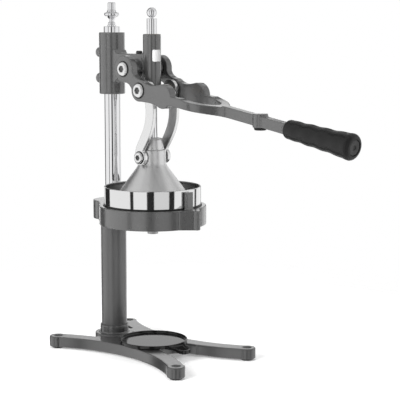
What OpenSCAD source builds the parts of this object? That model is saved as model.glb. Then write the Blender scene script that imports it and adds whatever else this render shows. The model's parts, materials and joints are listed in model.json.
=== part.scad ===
// Lever citrus juice press: a cast base, a post, a cup in a ring, and a press
// cone that a forked hand lever drives down through two curved links.
// Frame: +X is the way the lever points, +Z is up, and the origin is the
// centre of the four foot holes at table height. Millimetres throughout.

/* [Base] */
// Distance between the foot holes along the lever direction
foot_spacing_x = 266; // [230:1:320]
// Distance between the foot holes across the base
foot_spacing_y = 152; // [120:1:180]
// Thickness of the base casting
base_t = 16.5; // [12:0.5:24]
// Width of each curved leg
leg_w = 24; // [18:1:32]
// Half width of the base at its waist
waist_half = 49.5; // [44:0.5:56]
// Radius of the round end of each leg
foot_r = 13.3; // [12:0.1:18]
// Diameter of the screw hole in each foot
foot_hole_d = 6.5; // [4:0.1:9]
// Diameter of the sunk seat round each foot hole
foot_seat_d = 13; // [11:0.5:20]
// Depth of the sunk seat round each foot hole
foot_seat_depth = 2.5; // [1:0.5:6]
// Thickness of the rubber pad under each foot
pad_t = 2.5; // [1.5:0.5:5]
// Diameter of the rubber pad under each foot
pad_d = 20; // [16:0.5:25]
// How far the front notch between the legs reaches back past the centre
notch_x = 34; // [20:1:50]
// Radius of the round boss that the column stands on
boss_r = 30.5; // [28:0.5:36]
// Height of that boss over the top of the base
boss_h = 2; // [1:0.5:6]
// Height of the collar round the foot of the column
collar_h = 13; // [8:0.5:24]
// Wall of that collar
collar_wall = 2.4; // [2:0.1:6]

/* [Column] */
// Distance of the column axis behind the centre of the feet
column_back = 84; // [76:1:90]
// Outer diameter of the column tube
tube_d = 40; // [34:0.5:46]
// Length of the column tube
tube_len = 187; // [150:1:260]
// Diameter of the chromed post
post_d = 25; // [20:0.5:30]
// Bare post that stands out over the head
post_over = 9; // [9:1:40]
// Diameter of the bolt that ties the post to the base
tie_d = 12; // [8:0.5:16]
// Length of that bolt inside the post
tie_grip = 40; // [20:1:70]

/* [Cup and holder] */
// Distance from the column axis to the wall of the cup
cup_offset = 16.2; // [14:0.1:26]
// Outer radius of the cup
cup_r = 73.8; // [68:0.1:78]
// Sheet thickness of the cup
cup_t = 1.2; // [0.8:0.1:2]
// Height of the cup wall above its floor ring
cup_wall_h = 46.2; // [38:0.1:60]
// Fall of the cup floor from its ring to the nozzle
cup_fall = 16; // [10:1:20]
// Outer radius of the nozzle
nozzle_r = 8.2; // [6:0.1:12]
// Length of the nozzle below the cup floor
nozzle_len = 11.5; // [8:0.5:24]
// Height of the holder ring
ring_h = 29; // [22:1:40]
// Wall of the holder ring outside the cup
ring_wall = 8; // [6:0.5:12]
// Height of the shelf in the ring that the cup stands on
shelf_h = 12; // [8:1:16]
// Width of that shelf
shelf_w = 8; // [5:0.5:14]
// Outer radius of the hub round the post
hub_r = 31.7; // [28:0.1:36]
// How far the nose of the ring reaches from the cup axis
nose_reach = 100; // [94:1:112]
// Half width of the nose at its root
nose_root = 26; // [20:1:32]
// Radius of the rounded nose tip
nose_tip_r = 5; // [4:0.5:8]
// Height of the finger that stands on the nose
finger_h = 26; // [18:1:28]
// Width of that finger
finger_w = 14; // [6:0.5:16]
// Thickness of that finger
finger_t = 6; // [4:0.5:6]
// Gap round the cup in the ring, so that it lifts out
cup_slack = 0.9; // [0.4:0.1:1.5]

/* [Strainer] */
// Thickness of the strainer plate
strainer_t = 1.5; // [1:0.1:2.5]
// Height of the strainer plate over the cup floor ring
strainer_rise = 9.8; // [6:0.1:14]
// Radius of the reamer at its foot
reamer_r = 40; // [32:1:44]
// Height of the reamer
reamer_h = 42; // [30:1:46]
// Diameter of a strainer hole
hole_d = 4.5; // [3:0.1:5]
// Number of strainer holes in the inner row
holes_inner = 20; // [12:1:28]

/* [Press cone] */
// Radius of the press cone at its rim
cone_r = 61; // [54:0.5:63]
// Height of the straight skirt at that rim
skirt_h = 12; // [6:1:16]
// Height of the sloping wall
cone_h = 53.6; // [44:0.1:66]
// Wall of the press cone
cone_wall = 5; // [4:0.5:8]
// Radius of the collar that the links hang on
collar_r = 20.6; // [18:0.1:24]
// Height of that collar
cone_collar_h = 23.3; // [20:0.1:32]
// Height of the tapered neck over the collar
neck_h = 17.3; // [12:0.1:24]
// Height of the link pivot over the foot of the collar
pivot_up = 12.1; // [10:0.1:13]
// Diameter of the plunger rod
plunger_d = 15.5; // [12:0.5:17]
// Bare plunger rod above the head when the lever is down
plunger_over = 23; // [23:1:60]
// Diameter of the ball on the plunger
ball_d = 15.5; // [12:0.5:20]

/* [Linkage] */
// Height of the upper link pivot over the lower one
link_rise = 102; // [96:1:112]
// Distance of the upper link pivot in front of the plunger axis
link_lean = 15; // [13:1:18]
// How far the upper half of each link bows forward
link_bow = 27; // [20:0.5:30]
// Width of each link at its upper end
link_w = 17; // [15:1:22]
// Width of each link at its lower end
link_w_low = 14; // [12:1:18]
// Thickness of each link
link_t = 6.3; // [4:0.1:8]
// Radius of the eye at the lower end of each link
link_eye_r = 12; // [11:0.5:13]
// Radius of the eye at the upper end of each link
link_top_r = 14.5; // [12:0.5:16]
// Diameter of the link pivot screws
pivot_d = 10; // [8:0.5:11]
// Distance of the fulcrum behind the plunger axis
fulcrum_back = 19; // [17:1:21]
// Height of the fulcrum over the upper link pivot
crank_rise = 31; // [29:1:36]
// Diameter of the fulcrum pin
fulcrum_d = 14; // [12:0.5:16]

/* [Head] */
// Height of the sleeve that grips the post
sleeve_h = 95; // [90:1:120]
// Outer diameter of the sleeve
sleeve_d = 40; // [36:0.5:44]
// Height of the fulcrum over the foot of the sleeve
fulcrum_up = 41; // [38:1:46]
// Outer diameter of the guide tube
guide_d = 27.3; // [26:0.1:30]
// How far the guide tube starts above the foot of the sleeve
guide_up = 10; // [8:1:14]
// Length of the guide tube
guide_len = 83; // [74:1:85]
// Outer diameter of the guide bushes
bush_d = 20; // [19:0.5:22]
// Length of each guide bush
bush_len = 22; // [12:1:30]
// Height of the arm between sleeve and guide tube
arm_h = 39; // [34:1:42]
// Thickness of that arm
arm_w = 24; // [16:1:26]
// Diameter of the two clamp screws
clamp_d = 10; // [6:0.5:12]
// Distance between the two clamp screws
clamp_spacing = 40; // [30:1:50]
// Radius of the curved roots of the arm on the sleeve
arm_flare = 5; // [3:0.5:8]

/* [Lever] */
// Distance from the middle plane to the inner face of each fork arm
fork_in = 30; // [29.8:0.1:32]
// Thickness of each fork arm
fork_t = 12; // [9:0.5:15]
// Radius of the fulcrum eye
eye_r = 20; // [18:0.5:22]
// Radius of the link eye in the lever
crank_eye_r = 16.5; // [16:0.5:18]
// Radius of the plain disc on each fork arm
disc_r = 18; // [16:0.5:20]
// Width of the single lever bar
bar_w = 15; // [12:0.5:20]
// Height of the single lever bar
bar_h = 15.3; // [12:0.1:18]
// Slope of the single lever bar below level
bar_slope = 9.2; // [8:0.1:11]
// Reach of the fork from the fulcrum to where its arms have joined
fork_len = 170; // [160:1:190]
// Drop of the lever from the fulcrum to that join
fork_drop = 56.5; // [54:0.5:60]
// Length of the bare bar from the fork to the grip
bar_len = 120; // [95:1:150]
// Diameter of the round boss on the bar
bar_boss_d = 22; // [18:1:26]
// Length of the rubber grip
grip_len = 117; // [100:1:150]
// Diameter of the grip at its far end
grip_d = 37; // [32:0.5:42]
// Diameter of the grip at its near end
grip_d_near = 27; // [24:0.5:32]
// Diameter of the steel tang inside the grip
tang_d = 13; // [10:0.5:14]

/* [Drip tray] */
// Outer radius of the drip tray
tray_r = 52.5; // [44:0.5:54]
// Height of the drip tray
tray_h = 6; // [5:0.5:12]
// Wall of the drip tray
tray_wall = 2; // [1.5:0.1:3]
// Gap between the column's boss and the drip tray
tray_gap = 7; // [3:0.5:12]
// Reach of the tray's finger tab from the tray centre
tray_tab = 76; // [66:1:88]
// Half width of that tab
tray_tab_half = 12; // [8:0.5:16]
// How far the tab drops into the space between the front legs
tray_tab_drop = 6; // [2:0.5:9]
// Wall round the edge of that tab
tray_tab_wall = 3; // [2:0.5:5]

/* [Fits] */
// Gap between faces that move past each other
run_gap = 0.3; // [0.2:0.05:0.4]
// Radial gap of a running or sliding fit
fit_gap = 0.05; // [0.03:0.01:0.1]
// Radial gap of a piece that is pressed or screwed into another
seat_gap = 0.02; // [0.01:0.01:0.03]

/* [Hidden] */
$fn = 96;
eps = 0.01;

// Heights of the standing stack
base_z = pad_t;
base_top = base_z + base_t;
tie_head_h = 7;
tie_washer_t = 2;
tie_recess = 9.5;
column_seat = base_top - 1;
holder_z = column_seat + tube_len;
ring_top = holder_z + ring_h;
cup_floor = holder_z + shelf_h;
cup_rim = cup_floor + cup_wall_h;
cup_foot = cup_floor - cup_fall;
nozzle_end = cup_foot - nozzle_len;
throat_z = cup_foot + cup_t;
strainer_top = cup_floor + cup_t + strainer_rise + strainer_t;
press_gap = 0.8;
skirt_z = strainer_top + press_gap;
cone_top = skirt_z + skirt_h + cone_h;
neck_z = cone_top + cone_collar_h;
neck_top = neck_z + neck_h;

// Pivot places in the plane of the lever
column_x = -column_back;
cup_reach = cup_offset + cup_r;
cup_x = column_x + cup_reach;
low_pivot = [cup_x, cone_top + pivot_up];
crank_pivot = low_pivot + [link_lean, link_rise];
fulcrum = [cup_x - fulcrum_back, crank_pivot[1] + crank_rise];
sleeve_z = fulcrum[1] - fulcrum_up;
sleeve_top = sleeve_z + sleeve_h;
post_top = sleeve_top + post_over;
guide_z = sleeve_z + guide_up;
guide_top = guide_z + guide_len;
plunger_top = guide_top + plunger_over;
plunger_foot = cone_top + 4;

// Widths across the linkage, from the middle plane outwards
link_in = collar_r + 0.2 + run_gap;
link_out = link_in + link_t;
low_head_in = link_out + run_gap;
crank_boss_in = link_out + run_gap + 0.3;
fork_out = fork_in + fork_t;
boss_end = fork_in - run_gap;
button_d = 21.5;
button_h = 4;
low_button_d = 17.5;
low_button_h = 3.8;

// ---- shared shapes ----

// Point on a cubic curve through a and d with handles b and c
function cubic(a, b, c, d, t) =
    pow(1 - t, 3) * a + 3 * pow(1 - t, 2) * t * b + 3 * (1 - t) * t * t * c + t * t * t * d;

// Points along that curve, both ends included
function curve(a, b, c, d, n = 12) = [for (i = [0:n]) cubic(a, b, c, d, i / n)];

// Points on an arc from one angle to another
function arc(c, r, from, to, n = 16) =
    [for (i = [0:n]) let (q = from + (to - from) * i / n) c + r * [cos(q), sin(q)]];

// Points turned over so that a mirrored edge closes an outline
function flipped(points) = [for (i = [len(points) - 1:-1:0]) [points[i][0], -points[i][1]]];

// A tube standing on its foot, with a through bore
module pipe(od, id, h) {
    difference() {
        cylinder(d = od, h = h);
        translate([0, 0, -eps]) cylinder(d = id, h = h + 2 * eps);
    }
}

// An outline drawn in X and Z, given a thickness from y0 to y1
module plate_xz(y0, y1) {
    translate([0, y1, 0]) rotate([90, 0, 0]) linear_extrude(y1 - y0) children();
}

// A cylinder along Y from y0 to y1 at a pivot
module pin_y(pivot, d, y0, y1) {
    translate([pivot[0], y1, pivot[1]]) rotate([90, 0, 0]) cylinder(d = d, h = y1 - y0);
}

// The same piece on both sides of the middle plane
module both_sides() {
    children();
    mirror([0, 1, 0]) children();
}

// A button head with a hexagon socket and its shank, pointing in along -Y
// from its seat at y = seat; the shank ends at y = tip
module button_screw(pivot, head_d, head_h, shank_d, seat, tip) {
    socket_d = head_d * 0.4;
    translate([pivot[0], seat, pivot[1]]) rotate([-90, 0, 0]) difference() {
        union() {
            rotate_extrude() polygon(concat([[0, 0], [head_d / 2, 0], [head_d / 2, head_h * 0.35]],
                curve([head_d / 2, head_h * 0.35], [head_d / 2, head_h * 0.8],
                    [head_d * 0.4, head_h], [head_d * 0.3, head_h], 6), [[0, head_h]]));
            translate([0, 0, tip - seat]) cylinder(d = shank_d, h = seat - tip + eps);
        }
        translate([0, 0, head_h * 0.35]) cylinder(d = socket_d, h = head_h, $fn = 6);
    }
}

// ---- base ----

// The legs follow arcs round a centre beyond each side of the base
leg_run = foot_spacing_x / 2;
leg_reach = foot_spacing_y / 2;
leg_mid = waist_half - leg_w / 2;
leg_centre = (pow(leg_run, 2) + pow(leg_reach, 2) - pow(leg_mid, 2)) / (2 * (leg_reach - leg_mid));
leg_arc_r = leg_centre - leg_mid;
leg_inner_r = leg_arc_r + leg_w / 2;
tie_recess_d = 32;

// Half the space between the legs at a distance from the middle
function leg_gap(x) = leg_centre - sqrt(pow(leg_inner_r, 2) - x * x);

module at_feet() {
    for (sx = [-1, 1], sy = [-1, 1]) translate([sx * leg_run, sy * leg_reach, 0]) children();
}

// The two legs of one side, from foot hole to foot hole
module leg_pair() {
    spread = 1.4;
    intersection() {
        translate([0, leg_centre]) difference() {
            circle(r = leg_inner_r, $fn = 360);
            circle(r = leg_inner_r - leg_w, $fn = 360);
        }
        polygon([[0, leg_centre],
            [-leg_run * spread, leg_centre - (leg_centre - leg_reach) * spread],
            [leg_run * spread, leg_centre - (leg_centre - leg_reach) * spread]]);
    }
}

module base_outline() {
    notch_r = leg_gap(notch_x + leg_gap(notch_x));
    rear_half = leg_gap(column_back) + 2;
    front_half = notch_r + 2;
    leg_pair();
    mirror([0, 1]) leg_pair();
    at_feet() circle(r = foot_r);
    translate([column_x, 0]) circle(r = boss_r);
    translate([column_x, -rear_half]) square([column_back / 2, 2 * rear_half]);
    difference() {
        translate([column_x / 2 - 1, -front_half])
            square([column_back / 2 + 1 + notch_x + notch_r, 2 * front_half]);
        translate([notch_x + notch_r, 0]) circle(r = notch_r);
    }
}

module base_casting() {
    color("dimgray") difference() {
        union() {
            translate([0, 0, base_z]) linear_extrude(base_t) base_outline();
            translate([column_x, 0, base_top - 1]) cylinder(r = boss_r, h = boss_h + 1);
            translate([column_x, 0, base_top - 1])
                cylinder(d = tube_d + 2 * collar_wall, h = boss_h + collar_h + 1);
        }
        translate([column_x, 0, column_seat]) cylinder(d = tube_d + 2 * fit_gap, h = boss_h + collar_h + 2);
        translate([column_x, 0, 0]) cylinder(d = tie_d + 1, h = base_top);
        translate([column_x, 0, 0]) cylinder(d = tie_recess_d, h = base_z + tie_recess);
        at_feet() {
            cylinder(d = foot_hole_d, h = base_top + 1);
            translate([0, 0, base_top - foot_seat_depth]) cylinder(d = foot_seat_d, h = foot_seat_depth + 1);
        }
    }
}

module foot_pads() {
    color("black") at_feet() pipe(pad_d, foot_hole_d, pad_t);
}

module tie_bolt() {
    head_top = base_z + tie_recess - tie_washer_t;
    color("silver") translate([column_x, 0, head_top]) {
        translate([0, 0, -tie_head_h]) cylinder(d = tie_d * 1.7, h = tie_head_h, $fn = 6);
        cylinder(d = tie_d, h = column_seat - head_top + tie_grip);
    }
}

module tie_washer() {
    color("silver") translate([column_x, 0, base_z + tie_recess - tie_washer_t])
        pipe(tie_recess_d - 4, tie_d + 1, tie_washer_t);
}

// ---- column ----

finial_stem_d = 11.8;
finial_stem_h = 14.6;
finial_disc_d = 23.6;
finial_disc_h = 9.4;
finial_tip_h = 13;
finial_thread_d = 8;
finial_thread_h = 12;

module column_tube() {
    color("dimgray") translate([column_x, 0, column_seat]) pipe(tube_d, post_d + 2 * fit_gap, tube_len);
}

module post_rod() {
    color("gainsboro") translate([column_x, 0, 0]) difference() {
        translate([0, 0, column_seat]) cylinder(d = post_d, h = post_top - column_seat);
        translate([0, 0, column_seat - 1]) cylinder(d = tie_d + 2 * seat_gap, h = tie_grip + 3);
        translate([0, 0, post_top - finial_thread_h - 1])
            cylinder(d = finial_thread_d + 2 * seat_gap, h = finial_thread_h + 2);
    }
}

module post_finial() {
    disc_z = finial_stem_h;
    tip_z = disc_z + finial_disc_h;
    color("gainsboro") translate([column_x, 0, post_top]) {
        translate([0, 0, -finial_thread_h]) cylinder(d = finial_thread_d, h = finial_thread_h + 1);
        rotate_extrude() polygon(concat(
            [[0, 0], [finial_stem_d / 2, 0]],
            curve([finial_stem_d / 2, 2], [finial_stem_d / 3, 4], [finial_stem_d / 3, disc_z - 3],
                [finial_stem_d / 2, disc_z], 8),
            arc([(finial_disc_d - finial_disc_h) / 2, disc_z + finial_disc_h / 2], finial_disc_h / 2,
                -90, 90, 12),
            [[finial_stem_d / 2, tip_z]],
            arc([0, tip_z + finial_tip_h - finial_stem_d / 2], finial_stem_d / 2, 0, 90, 8)));
    }
}

// ---- cup holder, cup and strainer ----

ring_r = cup_r + ring_wall;
set_screw_d = 8;
set_screw_len = 12;
finger_x = cup_x + cup_r + cup_slack;

module nose_outline() {
    tip = nose_reach - nose_tip_r;
    root = sqrt(pow(ring_r, 2) - pow(nose_root, 2));
    polygon([[0, -nose_root], [root - 3, -nose_root], [tip, -nose_tip_r],
        [tip, nose_tip_r], [root - 3, nose_root], [0, nose_root]]);
    translate([tip, 0]) circle(r = nose_tip_r);
}

// Straight flanks that join the hub to the ring
module hub_outline() {
    side = 139.5;
    meet = ring_r * cos(side);
    half = ring_r * sin(side);
    circle(r = ring_r, $fn = 180);
    translate([-cup_reach, 0]) circle(r = hub_r);
    polygon([[-cup_reach, -hub_r], [meet, -half], [0, 0], [meet, half], [-cup_reach, hub_r]]);
}

module cup_holder() {
    color("dimgray") difference() {
        union() {
            translate([cup_x, 0, holder_z]) linear_extrude(ring_h) {
                hub_outline();
                nose_outline();
            }
            translate([finger_x, -finger_w / 2, holder_z + shelf_h])
                cube([finger_t, finger_w, ring_top - cup_floor + finger_h]);
        }
        translate([cup_x, 0, cup_floor]) cylinder(r = cup_r + cup_slack, h = ring_h, $fn = 180);
        translate([cup_x, 0, holder_z - 1]) cylinder(r = cup_r - shelf_w + run_gap, h = ring_h, $fn = 180);
        translate([column_x, 0, holder_z - 1]) cylinder(d = post_d + 2 * fit_gap, h = ring_h + 2);
        translate([column_x, 0, holder_z + ring_h / 2]) rotate([0, -90, 0])
            cylinder(d = set_screw_d + 2 * seat_gap, h = hub_r + 1);
    }
}

module holder_set_screw() {
    socket = 4;
    tip = post_d / 2 + fit_gap;
    color("black") translate([column_x, 0, holder_z + ring_h / 2]) rotate([0, -90, 0]) difference() {
        translate([0, 0, tip]) cylinder(d = set_screw_d, h = set_screw_len);
        translate([0, 0, tip + set_screw_len - socket]) cylinder(d = socket, h = socket + 1, $fn = 6);
    }
}

// The cup's floor ends at the hole that the nozzle is brazed into
module juice_cup() {
    floor_r = cup_r - shelf_w;
    mouth_r = nozzle_r + seat_gap;
    color("lightgray") translate([cup_x, 0, 0]) rotate_extrude($fn = 180) polygon([
        [mouth_r, cup_foot], [floor_r, cup_floor], [cup_r, cup_floor], [cup_r, cup_rim],
        [cup_r - cup_t, cup_rim], [cup_r - cup_t, cup_floor + cup_t],
        [floor_r, cup_floor + cup_t], [mouth_r, throat_z]]);
}

module cup_nozzle() {
    color("lightgray") translate([cup_x, 0, nozzle_end])
        pipe(2 * nozzle_r, 2 * (nozzle_r - cup_t), throat_z - nozzle_end);
}

// Rows of holes between the reamer and the rim of the strainer
module strainer_holes() {
    rows = 3;
    first = reamer_r + hole_d * 1.4;
    last = cup_r - cup_t - run_gap - strainer_t - hole_d * 1.4;
    for (row = [0:rows - 1]) {
        r = first + (last - first) * row / (rows - 1);
        count = round(holes_inner * r / first);
        for (k = [0:count - 1]) rotate([0, 0, 360 * (k + row / 2) / count]) translate([r, 0, 0])
            cylinder(d = hole_d, h = 3 * strainer_t, center = true, $fn = 24);
    }
}

reamer_shell = 3;
reamer_rib = 3;
reamer_ribs = 8;
dome_r = reamer_r - reamer_rib;

// Half section of the reamer's dome, grown outwards for its ribs or inwards
// for its hollow
module reamer_profile(grow) {
    belly = [reamer_r * 0.72 + grow, reamer_h * 0.3];
    brow = [reamer_r * 0.5 + grow, reamer_h * 0.95 + grow];
    polygon(concat([[0, 0]],
        curve([dome_r + grow, 0], belly, brow, [0, reamer_h - reamer_rib + grow], 14)));
}

module strainer() {
    rim_r = cup_r - cup_t - run_gap;
    color("gainsboro") translate([cup_x, 0, cup_floor + cup_t]) difference() {
        cylinder(r = rim_r, h = strainer_rise + strainer_t, $fn = 180);
        translate([0, 0, -1]) cylinder(r = rim_r - strainer_t, h = strainer_rise + 1, $fn = 180);
        cylinder(r = dome_r - reamer_shell, h = strainer_rise + strainer_t + 1);
        translate([0, 0, strainer_rise + strainer_t / 2]) strainer_holes();
    }
}

module reamer() {
    color("gainsboro") translate([cup_x, 0, strainer_top]) difference() {
        union() {
            rotate_extrude() reamer_profile(0);
            for (k = [0:reamer_ribs - 1]) rotate([0, 0, 360 * k / reamer_ribs]) intersection() {
                plate_xz(-reamer_rib / 2, reamer_rib / 2) reamer_profile(reamer_rib);
                cylinder(r = reamer_r, h = reamer_h);
            }
        }
        translate([0, 0, -eps]) rotate_extrude() reamer_profile(-reamer_shell);
    }
}

// ---- press cone and plunger ----

ball_stem_d = 6;
ball_stem_len = 9;

cone_slope = (cone_r - collar_r) / cone_h;
rim_top = skirt_z + skirt_h;
hollow_top = cone_top - cone_wall - 3;

// Outer radius of the sloping wall at a height
function cone_out(z) = collar_r + cone_slope * (cone_top - z);

// The straight band that the cone opens into
module cone_rim() {
    color("lightgray") translate([cup_x, 0, skirt_z]) difference() {
        cylinder(r = cone_r, h = skirt_h, $fn = 180);
        translate([0, 0, -eps]) cylinder(r = cone_r - cone_wall, h = skirt_h + 2 * eps, $fn = 180);
    }
}

module press_cone() {
    side_wall = cone_wall * sqrt(1 + cone_slope * cone_slope);
    color("lightgray") translate([cup_x, 0, 0]) rotate_extrude($fn = 180) polygon([
        [cone_r - cone_wall, rim_top], [cone_r, rim_top], [cone_out(hollow_top), hollow_top],
        [cone_out(hollow_top) - side_wall, hollow_top]]);
}

// The crown of the cone with the collar for the links and the neck for the rod
module cone_collar() {
    neck_r = collar_r - 3;
    neck_tip_r = collar_r - 5;
    color("lightgray") difference() {
        union() {
            translate([cup_x, 0, 0]) rotate_extrude($fn = 180) polygon(concat(
                [[0, hollow_top], [cone_out(hollow_top), hollow_top], [collar_r, cone_top],
                    [collar_r, neck_z], [neck_r, neck_z]],
                curve([neck_tip_r, neck_top - 3], [neck_tip_r - 0.3, neck_top - 1],
                    [neck_tip_r - 1, neck_top], [neck_tip_r - 2.5, neck_top], 6),
                [[0, neck_top]]));
            both_sides() pin_y(low_pivot, low_button_d + 1, 0, collar_r + 0.2);
        }
        translate([cup_x, 0, plunger_foot]) cylinder(d = plunger_d + 2 * seat_gap, h = neck_top);
        both_sides() pin_y(low_pivot, pivot_d + 2 * seat_gap, 0, collar_r + 1);
    }
}

module plunger_rod() {
    color("gainsboro") translate([cup_x, 0, 0]) difference() {
        translate([0, 0, plunger_foot]) cylinder(d = plunger_d, h = plunger_top - plunger_foot);
        translate([0, 0, plunger_top - ball_stem_len - 1])
            cylinder(d = ball_stem_d + 2 * seat_gap, h = ball_stem_len + 2);
    }
}

module plunger_ball() {
    rise = ball_d / 2 + 1;
    color("gainsboro") translate([cup_x, 0, plunger_top]) {
        translate([0, 0, rise]) sphere(d = ball_d);
        translate([0, 0, -ball_stem_len]) cylinder(d = ball_stem_d, h = ball_stem_len + rise);
    }
}

// ---- head ----

arm_z = sleeve_z + fulcrum_up - arm_h / 2 + 2.5;
arm_top = arm_z + arm_h;
fulcrum_boss_d = 28;
clamp_boss_d = 18;
clamp_boss_x = 25;
clamp_head_d = 16.5;
clamp_head_h = 6.4;
lock_d = 6;
lock_back = 9;
lock_tip = fulcrum[1] - 4;
lock_head_d = 10;
lock_head_h = 4.5;
clamp_low = sleeve_z + (sleeve_h - clamp_spacing) / 2 - 3.5;

module at_clamps() {
    for (k = [0, 1]) translate([column_x, 0, clamp_low + k * clamp_spacing]) rotate([0, -90, 0]) children();
}

// The arm with its curved roots on the sleeve, seen from the side
module arm_outline() {
    root = column_x + sleeve_d / 2;
    toe = root + arm_flare;
    inside = column_x + sleeve_d / 5;
    polygon(concat(
        [[inside, arm_z - arm_flare], [root, arm_z - arm_flare]],
        arc([toe, arm_z - arm_flare], arm_flare, 180, 90, 6),
        [[cup_x - 4, arm_z], [cup_x - 4, arm_top]],
        arc([toe, arm_top + arm_flare], arm_flare, 270, 180, 6),
        [[inside, arm_top + arm_flare]]));
}

module head_bracket() {
    color("dimgray") difference() {
        union() {
            translate([column_x, 0, sleeve_z]) cylinder(d = sleeve_d, h = sleeve_h);
            at_clamps() cylinder(d = clamp_boss_d, h = clamp_boss_x);
            plate_xz(-arm_w / 2, arm_w / 2) arm_outline();
            translate([cup_x, 0, guide_z]) cylinder(d = guide_d, h = guide_len);
            pin_y(fulcrum, fulcrum_boss_d, -boss_end, boss_end);
        }
        translate([column_x, 0, sleeve_z - 1]) cylinder(d = post_d + 2 * fit_gap, h = sleeve_h + 2);
        at_clamps() cylinder(d = clamp_d + 2 * seat_gap, h = clamp_boss_x + 1);
        translate([cup_x, 0, guide_z - 1]) cylinder(d = plunger_d + 2, h = guide_len + 2);
        for (z = [guide_z - 1, guide_top - bush_len])
            translate([cup_x, 0, z]) cylinder(d = bush_d + 2 * seat_gap, h = bush_len + 1);
        pin_y(fulcrum, fulcrum_d + 2 * seat_gap, -fork_in - 1, fork_in + 1);
        lock_bore();
    }
}

// The lock screw passes beside the fulcrum pin and sits in a groove across it
module lock_bore() {
    translate([fulcrum[0] - lock_back, 0, lock_tip - 1]) cylinder(d = lock_d + 2 * seat_gap, h = arm_h);
}

module clamp_screws() {
    tip = post_d / 2 + fit_gap;
    color("dimgray") at_clamps() {
        translate([0, 0, tip]) cylinder(d = clamp_d, h = clamp_boss_x - tip + 1);
        translate([0, 0, clamp_boss_x]) difference() {
            cylinder(d = clamp_head_d, h = clamp_head_h);
            translate([0, 0, clamp_head_h / 2]) cylinder(d = clamp_head_d / 2, h = clamp_head_h, $fn = 6);
        }
    }
}

module guide_bush(z) {
    color("goldenrod") translate([cup_x, 0, z]) pipe(bush_d, plunger_d + 2 * fit_gap, bush_len);
}

module guide_bush_upper() { guide_bush(guide_top - bush_len); }

module guide_bush_lower() { guide_bush(guide_z); }

fulcrum_thread_d = 8;
fulcrum_thread = 16;
pin_end = fork_out + run_gap;

module fulcrum_pin() {
    color("silver") difference() {
        pin_y(fulcrum, fulcrum_d, -pin_end, pin_end);
        both_sides()
            pin_y(fulcrum, fulcrum_thread_d + 2 * seat_gap, pin_end - fulcrum_thread - 2, pin_end + 1);
        lock_bore();
    }
}

module fulcrum_screws() {
    color("silver") both_sides()
        button_screw(fulcrum, button_d, button_h, fulcrum_thread_d, pin_end, pin_end - fulcrum_thread);
}

module fulcrum_lock_screw() {
    color("black") translate([fulcrum[0] - lock_back, 0, 0]) {
        translate([0, 0, lock_tip]) cylinder(d = lock_d, h = arm_top - lock_tip + 1);
        translate([0, 0, arm_top]) difference() {
            cylinder(d = lock_head_d, h = lock_head_h);
            translate([0, 0, lock_head_h / 2]) cylinder(d = lock_head_d / 2, h = lock_head_h, $fn = 6);
        }
    }
}

// ---- lever ----

disc_ahead = 83;
disc_drop = 38;
run_out = 22;
bar_start = fulcrum + [fork_len, -fork_drop];
disc_at = fulcrum + [disc_ahead, -disc_drop];
bush_wall = 2.5;
crank_d = 12;
crank_boss_d = 19;
bar_boss_ahead = 68;
bar_boss_h = 20;
bar_boss_at = bar_start + bar_boss_ahead * [1, -tan(bar_slope)];
bar_boss_foot = bar_boss_at[1] - bar_h / 2 / cos(bar_slope) - bar_boss_d / 2 * tan(bar_slope);
bumper_d = 18;
bumper_t = 3.5;
grip_collar_d = 19;
grip_collar_t = 4;
cap_d = 22;
cap_t = 3.5;

// Pieces drawn along the lever bar, with X down its slope
module on_bar() {
    translate([bar_start[0], 0, bar_start[1]]) rotate([0, bar_slope, 0]) children();
}

// Point on the top or bottom edge of the bar, at a distance from its start
function bar_edge(ahead, half) = bar_start + ahead * [cos(bar_slope), -sin(bar_slope)]
    + half * [sin(bar_slope), cos(bar_slope)];

// Side view of the fork: two eyes, a plain disc and the arm that joins the bar
module fork_side() {
    f = fulcrum;
    c = crank_pivot;
    half = bar_h / 2;
    translate(f) circle(r = eye_r);
    translate(c) circle(r = crank_eye_r);
    translate(disc_at) circle(r = disc_r);
    polygon(concat([f],
        curve(f + [eye_r - 1, 2], f + [eye_r - 1, -8], f + [eye_r + 6, -13], c + [3, crank_eye_r - 0.5], 8),
        [c],
        curve(c + [-crank_eye_r + 1.5, -4], c + [-crank_eye_r + 1, 6], f + [9, -eye_r + 1],
            f + [0, -eye_r], 8)));
    polygon(concat([c],
        curve(c + [4, crank_eye_r - 0.8], c + [16, crank_eye_r - 7], disc_at + [-26, disc_r - 5],
            disc_at + [-6, disc_r - 1], 8),
        [disc_at],
        curve(disc_at + [-6, -disc_r + 1], disc_at + [-18, -disc_r + 8], c + [14, -crank_eye_r - 0.5],
            c + [2, -crank_eye_r + 0.2], 8)));
    polygon(concat([disc_at, disc_at + [14, 0.6]],
        curve(disc_at + [35, -1.5], f + [fork_len - 45, -44], f + [fork_len - 10, -50],
            bar_edge(run_out, half), 12),
        curve(bar_edge(run_out, -half), bar_edge(-24, -half), f + [fork_len - 50, -52],
            disc_at + [12, -13], 12)));
}

// Where the fork's arms start to draw in, as a share of its length, and how
// softly they turn there, at the neck of the bar and in the crotch
bend_share = 0.72;
bend_ease = 30;
neck_ahead = 15;
neck_ease = 22;
crotch_back = 15;
crotch_ease = 30;
crotch_round = 0.7;

// Plan of the fork: parallel arms that draw together to the bar round a crotch
module fork_plan() {
    back = fulcrum[0] - eye_r - 1;
    bend = fulcrum[0] + fork_len * bend_share;
    crotch = fulcrum[0] + fork_len - crotch_back;
    neck = bar_start[0] + neck_ahead;
    half = bar_w / 2;
    outer = concat([[back, fork_out]], curve([bend, fork_out], [bend + bend_ease, fork_out],
        [neck - neck_ease, half], [neck, half], 16));
    inner = concat([[back - 1, fork_in]], curve([bend - crotch_ease, fork_in], [bend, fork_in],
        [crotch, fork_in * crotch_round], [crotch, 0], 16));
    difference() {
        polygon(concat(outer, flipped(outer)));
        polygon(concat(inner, flipped(inner)));
    }
}

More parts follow.
